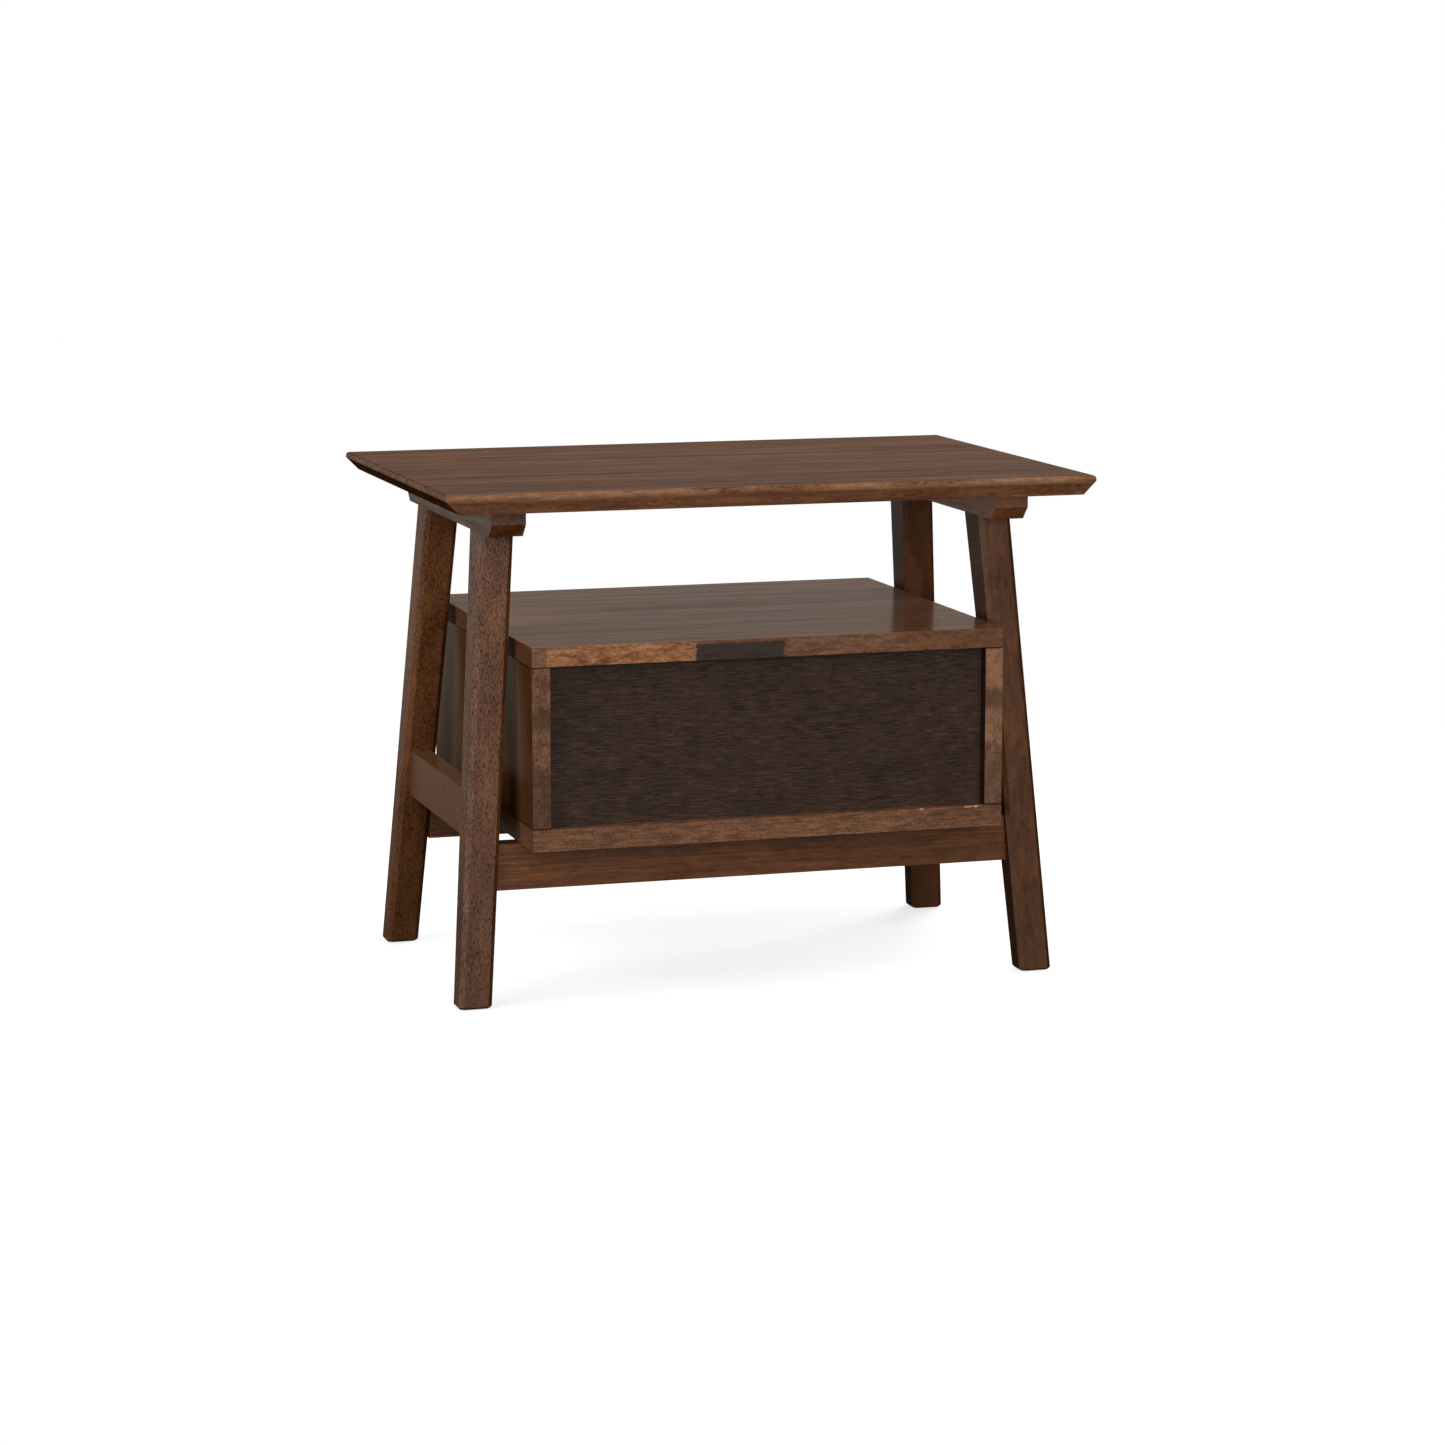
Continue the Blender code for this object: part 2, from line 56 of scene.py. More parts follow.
# The photograph's viewpoint
CAMERA_PLACE = Vector((1.1811, 3.8717, 0.9041))
CAMERA_AIM = Vector((0.0474, 0.1944, 0.2711))
CAMERA_LENS = 101.6
CAMERA_SENSOR = 36.0

# The floor: half its width, its own glow, and the distances between which it fades out
FLOOR_HALF = 4.0
FLOOR_GLOW = 0.7
FLOOR_FADE = (0.7, 1.8)

# The room's soft lights: direction, the angles between which each fades, and its colour and brightness
ROOM_LIGHTS = {
    "right": ((0.90, 0.43, -0.02), 9, 29, (1.55, 1.55, 1.55)),
    "back": ((0.15, 1.00, 0.02), 12, 52, (0.75, 0.75, 0.75)),
    "front": ((0.30, -0.93, -0.08), 12, 30, (0.42, 0.35, 0.295)),
    "front left": ((-0.46, -0.86, 0.20), 8, 30, (0.280, 0.238, 0.207)),
    "ceiling": ((0.00, 0.20, 1.00), 20, 65, (0.60, 0.60, 0.60)),
}
HORIZON = (-0.20, -0.11)  # how far under level the room's light fades out, as a direction's Z

# Softboxes: place, the point that each faces, width and height, and power
SOFTBOXES = {
    "key": ((0.25, 3.55, 1.05), (0, 0, 0.30), (2.2, 1.5), 61),
    "side_key": ((3.0, 1.1, 2.40), (0, 0, 0.30), (2.6, 1.4), 60),
    "overhead": ((0.0, 0.3, 2.8), (0, 0, 0.2), (2.2, 2.2), 11),
    "front_fill": ((-2.3, -2.3, 1.15), (0, 0, 0.25), (2.0, 1.6), 112),
}

# The planes of the case's back edges and of its back panel
BACK_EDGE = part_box("case_lid")[1].y
PANEL_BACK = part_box("case_back_panel")[1].y

EDGE_SOFT = 0.0012  # radius that sanding leaves on a wooden arris
TOP_EDGE_SOFT = 0.0022
ROUNDED_ANGLE = math.radians(25)  # edges sharper than this are rounded
SHARP_ANGLE = math.radians(35)  # edges sharper than this are shaded as edges
MERGE = 0.00001  # points nearer to each other than this are one point

# Ball bearing slides
SHEET = 0.0012
BEND = 0.0016  # radius of a channel's corners
CURL = 0.0010  # radius of a lip's curl round the balls
SLOT_HALF = 0.0022  # half a punched slot's width
SLOT_REACH = 0.01  # how far the slot's cutter sticks out on either side
RACE = 0.0030  # space between two nested members
BALL = 0.00145
BALL_PITCH = 0.0085
CAGE_WIDE = 0.0046
CAGE_THICK = 0.0005
CAGE_END = 0.008

# The slots in each member's web, as (y of its middle, length)
SLIDE_SLOTS = {
    "cabinet": ((-0.085, 0.012), (-0.030, 0.008), (0.030, 0.012), (0.075, 0.008), (0.145, 0.006)),
    "middle": ((-0.140, 0.030), (-0.040, 0.040), (0.060, 0.040), (0.140, 0.020)),
    "drawer": ((-0.085, 0.010), (-0.020, 0.012), (0.060, 0.010), (0.150, 0.006)),
}

# Screws: radius of the shank and of the head, length of the shank, height of the head, and thread pitch
SCREWS = {
    "case_screw": dict(shank=0.0022, long=0.038, head=0.0045, head_high=0.0026, pitch=0.0018),
    "drawer_front_screw": dict(shank=0.0020, long=0.024, head=0.0042, head_high=0.0024, pitch=0.0016),
    "slide_screw": dict(shank=0.0016, long=0.0105, head=0.0034, head_high=0.0010, pitch=0.0012),
    "top_screw": dict(shank=0.0022, long=0.033, head=0.0045, head_high=0.0026, pitch=0.0018),
}

# Nylon glides
GLIDE_TOP = 0.0028
GLIDE_RIM = 0.0010  # radius of the softened rim
GLIDE_DISH = 0.0006  # depth of the dished centre
GLIDE_NAIL = 0.0010  # radius of the nail
GLIDE_POINT = 0.0020  # length of the nail's point

# Wood tones, darkest first
BROWN = ((0.030, 0.010, 0.003), (0.080, 0.028, 0.009), (0.130, 0.047, 0.016), (0.210, 0.082, 0.030))
WARM = ((0.045, 0.015, 0.005), (0.120, 0.042, 0.013), (0.190, 0.070, 0.023), (0.300, 0.120, 0.042))
TOP_BROWN = ((0.040, 0.014, 0.005), (0.080, 0.029, 0.010), (0.122, 0.045, 0.016), (0.190, 0.075, 0.028))
# The lid's tones are lighter than the table top's, though it has the same stain: painted light for the
# shelf that the top shades.
LID_BROWN_LIT = ((0.052, 0.018, 0.0055), (0.109, 0.038, 0.0115), (0.180, 0.065, 0.021), (0.285, 0.109, 0.038))
FLOOR_BROWN = ((0.060, 0.024, 0.010), (0.135, 0.056, 0.025), (0.215, 0.095, 0.044), (0.320, 0.150, 0.070))
ESPRESSO = ((0.006, 0.003, 0.002), (0.022, 0.012, 0.008), (0.041, 0.022, 0.014), (0.090, 0.050, 0.034))
PALE = ((0.300, 0.180, 0.085), (0.430, 0.290, 0.155), (0.520, 0.370, 0.215), (0.600, 0.450, 0.290))
TONE_PLACES = (0.02, 0.34, 0.60, 0.98)  # where a board's four tones lie on its colour ramp

WORN = (0.30, 0.152, 0.078)
BARE_WOOD = (0.62, 0.33, 0.18)
KNOT_BROWN = (0.060, 0.022, 0.009)
ARCH_BROWN = (0.050, 0.024, 0.013)
RECESS = (0.014, 0.006, 0.003)  # shade in a narrow gap

# Woods of the blocks that show on the lid's and the sides' back edges, as stops of a colour ramp
LID_LIGHT = ((0.05, (0.10, 0.038, 0.012)), (0.45, (0.215, 0.088, 0.031)), (0.95, (0.38, 0.165, 0.069)))
LID_GREY = ((0.05, (0.095, 0.042, 0.020)), (0.95, (0.20, 0.095, 0.048)))
LID_MILD = ((0.05, (0.075, 0.030, 0.012)), (0.95, (0.19, 0.086, 0.043)))
LID_PLAIN = ((0.05, (0.070, 0.026, 0.009)), (0.95, (0.165, 0.066, 0.027)))
CHARCOAL = ((0.0, (0.022, 0.012, 0.008)), (1.0, (0.040, 0.024, 0.017)))
SIDE_LIGHT = ((0.05, (0.080, 0.037, 0.018)), (0.5, (0.175, 0.088, 0.049)), (0.95, (0.28, 0.140, 0.076)))
SIDE_GREY = ((0.05, (0.056, 0.028, 0.016)), (0.95, (0.150, 0.080, 0.048)))

# Along the lid's back edge: where its blocks, the filler and the small knots lie in X
LIGHT_BLOCK = (0.075, 0.222)
GREY_BLOCK = (0.222, 0.300)
MILD_BLOCK = (-0.135, -0.017)
FILLER = (-0.013, 0.075)
LID_KNOTS = (0.187, 0.165)
JOINT = 0.0003  # how soft the line between two glued blocks is

# Up the sides' back edges: where grey wood turns into light wood, and where the dark cathedral lies
GREY_TO_LIGHT = (0.226, 0.246)
CATHEDRAL = (0.273, 0.291)

WORN_STRETCH = (-0.232, -0.150)  # the knocked part of the floor board's back edge, in X

# How far a leg leans in X and in Y over its height
LEG_LEAN = (0.0346, 0.047, 0.4537)

# Each leg's own tone and gloss
LEG_LOOKS = {
    ("back", "right"): {"light": 0.13, "gloss": 0.50},
    ("back", "left"): {"light": 0.00, "gloss": 0.36},
    ("front", "right"): {"light": 0.21, "gloss": 0.22},
    ("front", "left"): {"light": 0.10, "gloss": 0.65},
}

# Knots: (place along, across and through the board from its middle, size)
LEG_KNOT = ((-0.075, 0.0, -0.016), 0.0055)
RAIL_KNOT = ((0.224, 0.0, 0.011), 0.0030)

# Figure of the wood
YEAR = 0.0042  # a year's growth
PITH = 0.09  # how far the tree's middle lies under the board
PITH_ASIDE = 0.013  # how far it lies to either side at most
WANDER = 0.075  # how much the rings wander
RIPPLE = 0.006  # how much they ripple
SMOOTHEST = 0.13  # the lowest roughness of any wood
RELIEF = 0.0001  # height of the surface's finest relief


# Node graphs ----------------------------------------------------------------------------------------
class Graph:
    """Adds nodes to a node tree one by one, each with its inputs and settings."""

    def __init__(self, tree):
        self.tree = tree

    def plug(self, socket, value):
        if isinstance(value, bpy.types.NodeSocket):
            self.tree.links.new(value, socket)
        elif socket.type == "RGBA" and not isinstance(value, float):
            socket.default_value = (*value, 1.0)
        else:
            socket.default_value = value

    def add(self, kind, inputs, **settings):
        node = self.tree.nodes.new(kind)
        for key, value in settings.items():
            setattr(node, key, value)
        for key, value in inputs.items():
            self.plug(node.inputs[key], value)
        return node

    def math(self, operation, a, b=0.0, c=0.0):
        return self.add("ShaderNodeMath", {0: a, 1: b, 2: c}, operation=operation).outputs[0]

    def total(self, start, *terms):
        """start plus the sum of factor times value over the (factor, value) terms."""
        for factor, value in terms:
            start = self.math("MULTIPLY_ADD", value, factor, start)
        return start

    def product(self, first, *others):
        for other in others:
            first = self.math("MULTIPLY", first, other)
        return first

    def dot(self, a, b):
        return self.add("ShaderNodeVectorMath", {0: a, 1: b}, operation="DOT_PRODUCT").outputs["Value"]

    def mapped(self, vector, turn=(0, 0, 0), scale=(1, 1, 1), shift=(0, 0, 0)):
        inputs = {"Vector": vector, "Location": shift, "Rotation": turn, "Scale": scale}
        return self.add("ShaderNodeMapping", inputs).outputs[0]

    def noise(self, vector, detail=2.0, roughness=0.5, distortion=0.0):
        """Noise of unit scale, between -0.5 and 0.5, so the vector carries the scale."""
        inputs = {"Vector": vector, "Scale": 1.0}
        inputs.update({"Detail": detail, "Roughness": roughness, "Distortion": distortion})
        return self.math("SUBTRACT", self.add("ShaderNodeTexNoise", inputs).outputs["Fac"], 0.5)

    def mix(self, factor, a, b):
        return self.add("ShaderNodeMix", {0: factor, 6: a, 7: b}, data_type="RGBA").outputs[2]

    def ramp(self, value, stops):
        """A colour ramp from (place, colour or grey) stops."""
        node = self.add("ShaderNodeValToRGB", {"Fac": value})
        points = node.color_ramp.elements
        while len(points) < len(stops):
            points.new(1.0)
        for point, (place, colour) in zip(points, stops):
            point.position = place
            point.color = (*colour, 1.0) if isinstance(colour, tuple) else (colour, colour, colour, 1.0)
        return node.outputs[0]

    def ease(self, value, low, high, to_low=0.0, to_high=1.0):
        """Runs smoothly from to_low to to_high as the value goes from low to high."""
        inputs = {"Value": value, "From Min": low, "From Max": high, "To Min": to_low, "To Max": to_high}
        return self.add("ShaderNodeMapRange", inputs, interpolation_type="SMOOTHSTEP").outputs[0]

    def grain(self, vector, long, wide, seed, detail=2.0, roughness=0.5, distortion=0.0):
        """Noise whose patches have that length along the first axis and that width across it."""
        shift = (seed * 3.71, seed * 1.93, seed * 0.57)
        scaled = self.mapped(vector, scale=(1 / long, 1 / wide, 1 / wide), shift=shift)
        return self.noise(scaled, detail, roughness, distortion)

    def between(self, value, low, high, soft):
        """1 where the value lies between low and high, with soft edges of that width, and else 0."""
        rise = self.ease(value, low - soft, low + soft)
        return self.math("MULTIPLY", rise, self.ease(value, high - soft, high + soft, 1.0, 0.0))

    def parts(self, vector):
        return self.add("ShaderNodeSeparateXYZ", {0: vector}).outputs

    def coordinate(self, kind):
        return self.add("ShaderNodeTexCoord", {}).outputs[kind]


class Surface(Graph):
    """A new material with its Principled shader."""

    def __init__(self, name):
        self.material = bpy.data.materials.new(name)
        self.material.use_nodes = True
        super().__init__(self.material.node_tree)
        self.shader = self.tree.nodes["Principled BSDF"]

    def set(self, **values):
        """Sets the shader's inputs, with underscores for the spaces in their names."""
        for key, value in values.items():
            self.plug(self.shader.inputs[key.replace("_", " ")], value)


# Wood -----------------------------------------------------------------------------------------------
def strips(g, local, across, width, seed):
    """Cuts the wood into glued strips: returns shifted coordinates and a number per strip, -0.5 to 0.5."""
    shifted = g.math("ADD", across, 10.0 + width * (seed % 1.0))
    strip = g.math("FLOOR", g.math("DIVIDE", shifted, width))
    dice = g.add("ShaderNodeTexWhiteNoise", {"W": g.math("ADD", strip, seed)}, noise_dimensions="1D")
    leap = {"X": g.product(strip, 0.913), "Z": g.product(strip, 0.037)}
    jump = g.add("ShaderNodeCombineXYZ", leap).outputs[0]
    moved = g.add("ShaderNodeVectorMath", {0: local, 1: jump}, operation="ADD").outputs[0]
    return moved, g.math("SUBTRACT", dice.outputs["Value"], 0.5)


def knot_field(g, local, place, long, wide):
    """1 at a knot's heart, falling away over its length and width."""
    shift = Vector((-place[0] / long, -place[1] / wide, -place[2] / wide))
    offset = g.mapped(local, scale=(1 / long, 1 / wide, 1 / wide), shift=shift)
    return g.math("EXPONENT", g.math("MULTIPLY", g.dot(offset, offset), -1.0))


def year_rings(g, local, flat, seed, knots):
    """0 in a year's early wood to 1 in its late wood. The rings bend round the knots."""
    _, v, w = g.parts(local)
    wander = g.grain(local, 0.45, 0.11, seed)
    ripple = g.grain(local, 0.11, 0.017, seed)
    height = g.total(g.math("ADD", w, PITH), (WANDER, wander), (RIPPLE, ripple))
    side = g.math("ADD", v, PITH_ASIDE * math.sin(seed * 2.3))
    radius = g.math("SQRT", g.math("ADD", g.product(height, height), g.product(side, side)))
    for place, size in knots:
        radius = g.total(radius, (size * 1.4, knot_field(g, flat, place, size * 2.4, size)))
    year = g.math("FRACT", g.math("DIVIDE", radius, YEAR))
    return g.ramp(year, ((0.0, 0.0), (0.55, 0.25), (0.88, 1.0), (0.985, 0.1)))


def wood(
    name, centre, along, through, seed, tones=BROWN, light=0.0, strip=None, strip_tone=0.12, knots=(),
    broad=0.9, mottle=0.6, streak=0.6, streak_size=(0.08, 0.0042), fibre=0.35, pore=0.3,
    pore_size=(0.0034, 0.0012), late=0.08, rough=0.30, satin=1.1, end_rough=0.0, gloss=0.5, finish=None,
):
    """Wood with its grain along one direction, solid in all three, so that end grain shows its rings.

    light moves the tone. strip is the width of the strips that a board is glued up from, and strip_tone is
    how much they differ. broad, mottle, streak, fibre, pore and late say how strongly the patches,
    mottling, streaks, fibres, open pores and late wood show, and the sizes are (length, width). satin is
    how much glossier the light streaks are, end_rough is how much rougher end grain is, and finish
    changes the colour at the end: it paints wear, glued blocks and painted shade.
    """
    g = Surface(name)
    along, through = along.normalized(), through.normalized()
    across = through.cross(along).normalized()
    through = along.cross(across)
    turn = Matrix((along, across, through))
    local = flat = g.mapped(g.coordinate("Object"), turn.to_euler(), shift=-(turn @ centre))
    value = 0.5 + light
    if strip:
        local, tone = strips(g, flat, g.parts(flat)[1], strip, seed)
        value = g.total(value, (strip_tone, tone))

    growth = year_rings(g, local, flat, seed, knots)
    patches = g.grain(local, 0.065, 0.027, seed, 2.0, 0.45, 0.3)
    mottles = g.grain(local, 0.014, 0.006, seed)
    streaks = g.grain(local, *streak_size, seed, 4.0, 0.55)
    fibres = g.grain(local, 0.016, 0.0008, seed)
    specks = g.grain(local, *pore_size, seed, 1.0)
    pores = g.ease(specks, 0.0, 0.12)
    value = g.total(
        value, (broad, patches), (mottle, mottles), (streak, streaks), (fibre, fibres), (-late, growth),
        (-pore, pores), (0.5 * pore, specks),
    )
    for place, size in knots:
        value = g.total(value, (-0.4, knot_field(g, flat, place, size * 0.8, size * 0.5)))
    colour = g.ramp(value, tuple(zip(TONE_PLACES, tones)))
    if finish:
        colour = finish(g, colour)

    end_grain = g.ease(g.math("ABSOLUTE", g.dot(g.coordinate("Normal"), along)), 0.6, 0.9)
    roughness = g.total(rough, (-satin * rough, streaks), (0.3 * pore, pores), (end_rough, end_grain))
    g.set(Base_Color=colour, Roughness=g.math("MAXIMUM", roughness, SMOOTHEST), Specular_IOR_Level=gloss)
    if pore:
        relief = g.total(0.0, (0.3, fibres), (-0.5, pores))
        bump = g.add("ShaderNodeBump", {"Height": relief, "Strength": 0.35 * pore, "Distance": RELIEF})
        g.set(Normal=bump.outputs[0])
    return g.material


def dress(node, material):
    """Gives a CAD node its material."""
    mesh = frame["nodes"][node].data
    mesh.materials.clear()
    mesh.materials.append(material)


def middle(node):
    low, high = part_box(node)
    return (low + high) / 2


def soften(node, width):
    """Rounds a CAD node's sharp edges a little, as sanding does."""
    bevel = frame["nodes"][node].modifiers.new("soft_edges", "BEVEL")
    bevel.width = width
    bevel.segments = 3
    bevel.limit_method = "ANGLE"
    bevel.angle_limit = ROUNDED_ANGLE
    bevel.use_clamp_overlap = True
    bevel.harden_normals = True


def dress_board(node, along, through, seed, soft=EDGE_SOFT, **look):
    """Turns a CAD node into a board with its grain in one direction and its face in another."""
    dress(node, wood(f"{node}_wood", middle(node), along, through, seed, **look))
    soften(node, soft)


def shaded_foot(g, colour):
    """Painted shade: the leg's colour grows darker towards its foot."""
    height = g.parts(g.coordinate("Object"))[2]
    return g.mix(g.ease(height, 0.02, 0.24, 0.30, 0.0), colour, BROWN[0])


def shaded_inner_face(g, colour):
    """A left leg gets painted shade on the face that looks across the table, and painted shade towards its
    foot.
    """
    across = g.parts(g.coordinate("Normal"))[0]
    return g.mix(g.ease(across, 0.75, 0.95, 0.0, 0.7), shaded_foot(g, colour), BROWN[0])


def worn_top_edge(g, colour):
    """The stain is thinner on the rounded upper edges of the table top, and darker under the ridge."""
    place = g.coordinate("Object")
    _, y, z = g.parts(place)
    _, side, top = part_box("table_top")[1]
    edge = g.ease(g.math("ABSOLUTE", y), side - 0.0055, side - 0.0010)
    upper = g.ease(z, top - 0.0085, top - 0.0035)
    lower = g.ease(z, top - 0.0080, top - 0.0050, 1.0, 0.0)
    ragged = g.grain(place, 0.045, 0.010, 0.7, 3.0, 0.6)
    speckled = g.grain(place, 0.0060, 0.0020, 0.3, 1.0)
    dark = g.product(edge, lower, g.total(0.15, (1.4, ragged), (1.6, speckled)))
    worn = g.product(edge, upper, g.total(0.50, (2.2, ragged), (1.2, speckled)))
    return g.mix(worn, g.mix(dark, colour, BROWN[0]), WORN)


def dress_frame():
    dress_board(
        "table_top", X, Z, seed=1.3, soft=TOP_EDGE_SOFT, tones=TOP_BROWN, strip=0.078, strip_tone=0.2,
        broad=0.5, mottle=0.1, streak=1.6, streak_size=(0.22, 0.0080), fibre=0.5, pore=0.06, rough=0.34,
        gloss=0.22, finish=worn_top_edge,
    )
    for side, seed, light in (("left", 2.1, 0.26), ("right", 2.7, -0.12)):
        dress_board(f"bearer_{side}", Y, Z, seed, tones=WARM, light=light, mottle=0.3, pore=0.2)
        dress_board(
            f"side_rail_{side}", Y, X, seed + 3.0, tones=FLOOR_BROWN, broad=0.2, mottle=0.1, streak=0.1,
            fibre=0.1, pore=0.0, late=0.02, light=-0.08, gloss=0.9,
        )
    for place, seed in (("front", 4.4), ("back", 5.2)):
        dress_board(
            f"{place}_rail", X, Y, seed, tones=WARM, broad=0.5, mottle=0.3, streak=1.0,
            streak_size=(0.10, 0.0028), pore=0.12, light=-0.12, knots=(RAIL_KNOT,),
        )
    lean_x, lean_y, rise = LEG_LEAN
    for where, sign_y in (("front", -1), ("back", 1)):
        for side, sign_x in (("left", -1), ("right", 1)):
            up_the_leg = Vector((-sign_x * lean_x, -sign_y * lean_y, rise))
            pore, mottle = (0.14, 0.5) if side == "left" else (0.62, 0.3)
            dress_board(
                f"leg_{where}_{side}", up_the_leg, Y, seed=6.0 + 1.7 * sign_x + 0.9 * sign_y, broad=0.8,
                mottle=mottle, streak=0.5, streak_size=(0.030, 0.0030), pore=pore,
                pore_size=(0.0030, 0.0010), knots=(LEG_KNOT,) if (where, side) == ("back", "left") else (),
                # left legs get painted shade on their inner face and towards the foot, right legs towards
                # the foot
                finish=shaded_inner_face if side == "left" else shaded_foot, **LEG_LOOKS[where, side],
            )


def case_back_edge(g, y, colour, edge, inner):
    """Puts an edge's colour on a board's back edge, and shade where its inner side meets the panel."""
    edged = g.mix(g.ease(y, BACK_EDGE - 0.0009, BACK_EDGE - 0.0003), colour, edge)
    gap = g.product(inner, g.ease(y, PANEL_BACK - 0.002, PANEL_BACK))
    return g.mix(gap, edged, RECESS)


def lid_edge(g, colour):
    """The lid's back edge: glued blocks of different woods, and a charcoal patch of filler over a flaw.

    The lid itself grows a little darker towards that edge: painted shade.
    """
    place = g.coordinate("Object")
    x, y, z = g.parts(place)
    low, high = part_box("case_lid")
    nibble = g.grain(place, 0.0035, 0.0035, 4.0, 2.0, 0.6)
    cloud = g.grain(place, 0.024, 0.0045, 9.0, 3.0, 0.6, 0.3)
    speckled = g.grain(place, 0.0050, 0.0020, 5.0, 1.0)
    vivid = g.total(0.55, (2.0, cloud), (1.2, speckled))
    plain_wood = g.ramp(vivid, LID_PLAIN)
    edge = g.mix(g.between(x, *LIGHT_BLOCK, JOINT), plain_wood, g.ramp(vivid, LID_LIGHT))
    edge = g.mix(g.between(x, *GREY_BLOCK, JOINT), edge, g.ramp(vivid, LID_GREY))
    edge = g.mix(g.between(x, *MILD_BLOCK, 4 * JOINT), edge, g.ramp(vivid, LID_MILD))
    ragged_x = g.total(x, (0.010, nibble))
    ragged_z = g.total(z, (0.006, nibble))
    under_top = g.ease(ragged_z, high.z - 0.0040, high.z - 0.0026, 1.0, 0.0)
    filler = g.product(g.between(ragged_x, *FILLER, 2 * JOINT), under_top)
    edge = g.mix(filler, edge, g.ramp(vivid, CHARCOAL))
    for knot_x in LID_KNOTS:
        spot = knot_field(g, place, (knot_x, high.y, low.z + 0.004), 0.006, 0.0026)
        edge = g.mix(g.product(spot, 0.75), edge, KNOT_BROWN)
    colour = g.mix(g.ease(z, high.z - 0.0014, high.z - 0.0004, 1.0, 0.0), colour, plain_wood)
    # painted shade: darker towards the back edge
    colour = g.mix(g.ease(y, BACK_EDGE - 0.16, BACK_EDGE, 0.0, 0.30), colour, LID_BROWN_LIT[0])
    underside = g.ease(z, low.z, low.z + 0.0004, 1.0, 0.0)
    return case_back_edge(g, y, colour, edge, underside)


def side_edge(g, colour):
    """The back edge of a case side: mottled blocks with a swirl, a dark cathedral and a joint."""
    place = g.coordinate("Object")
    x, y, z = g.parts(place)
    low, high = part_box("case_side_left")  # the right side mirrors it
    cloud = g.grain(place, 0.010, 0.012, 2.0, 3.0, 0.55, 0.8)
    speckled = g.grain(place, 0.0016, 0.0024, 8.0, 1.0)
    vivid = g.total(0.5, (1.2, cloud), (1.0, speckled), (-0.7, x))
    is_light = g.ease(g.total(z, (0.030, cloud)), *GREY_TO_LIGHT)
    edge = g.mix(is_light, g.ramp(vivid, SIDE_GREY), g.ramp(vivid, SIDE_LIGHT))
    arch = g.between(g.total(z, (0.016, cloud)), *CATHEDRAL, 0.004)
    edge = g.mix(g.product(arch, 0.6), edge, ARCH_BROWN)
    block_end = low.z + 0.33 * (high.z - low.z)
    edge = g.mix(g.between(z, block_end, block_end + 0.0003, 0.0002), edge, RECESS)
    inner_side = g.ease(g.math("ABSOLUTE", x), -high.x + 0.0001, -high.x + 0.0005, 1.0, 0.0)
    # painted shade in the gaps over the floor and under the lid
    over_floor = g.ease(z, low.z, low.z + 0.0022)
    under_lid = g.ease(z, high.z - 0.0016, high.z, 1.0, 0.0)
    away_from_shaded_gaps = g.math("MINIMUM", over_floor, under_lid)
    return g.mix(away_from_shaded_gaps, RECESS, case_back_edge(g, y, colour, edge, inner_side))


def worn_floor_edge(g, colour):
    """Knocks along the floor board's upper back edge, near one end, have taken the stain off."""
    place = g.coordinate("Object")
    x, y, z = g.parts(place)
    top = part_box("case_floor")[1].z
    edge = g.product(g.ease(y, BACK_EDGE - 0.002, BACK_EDGE), g.ease(z, top - 0.0022, top - 0.0008))
    chips = g.ease(g.grain(place, 0.012, 0.012, 3.0), 0.02, 0.10)
    here = g.product(g.between(x, *WORN_STRETCH, 0.004), chips)
    return g.mix(g.product(edge, here), colour, BARE_WOOD)


def dress_case():
    dress_board(
        "case_lid", X, Z, seed=11.2, tones=LID_BROWN_LIT, strip=0.090, strip_tone=0.3, broad=0.6, mottle=0.1,
        streak=2.0, streak_size=(0.30, 0.011), fibre=0.2, pore=0.0, rough=0.18, satin=2.0, end_rough=0.4,
        gloss=0.42, finish=lid_edge,
    )
    dress_board(
        "case_floor", X, Z, seed=12.4, tones=FLOOR_BROWN, pore=0.4, pore_size=(0.0030, 0.0008),
        broad=0.6, mottle=0.6, streak=1.0, streak_size=(0.030, 0.0018), fibre=0.8,
        finish=worn_floor_edge,
    )
    for side, seed in (("left", 13.1), ("right", 14.6)):
        dress_board(
            f"case_side_{side}", Z, X, seed, strip=0.085, rough=0.22, gloss=0.13, light=-0.12, broad=0.7,
            mottle=0.0, streak=0.3, fibre=0.1, pore=0.0, finish=side_edge,
        )
    dress_board(
        "case_back_panel", X, Y, seed=15.5, tones=ESPRESSO, broad=0.25, mottle=0.1, streak=1.25,
        streak_size=(0.016, 0.0009), fibre=1.0, pore=0.2, pore_size=(0.0070, 0.0008), late=0.0, rough=0.46,
        gloss=0.3, light=0.06,
    )


def dress_drawer():
    dress_board("drawer_front", X, Y, seed=16.3, strip=0.075)
    for node, along, seed in (
        ("drawer_box_front", X, 28.2),
        ("drawer_box_back", X, 27.5),
        ("drawer_box_side_left", Y, 31.0),
        ("drawer_box_side_right", Y, 31.7),
    ):
        dress_board(node, along, Z, seed, tones=PALE, broad=0.8, pore=0.10, rough=0.45)
    dress_board("drawer_bottom", X, Z, seed=19.2, tones=PALE, broad=0.8, pore=0.08, rough=0.45)


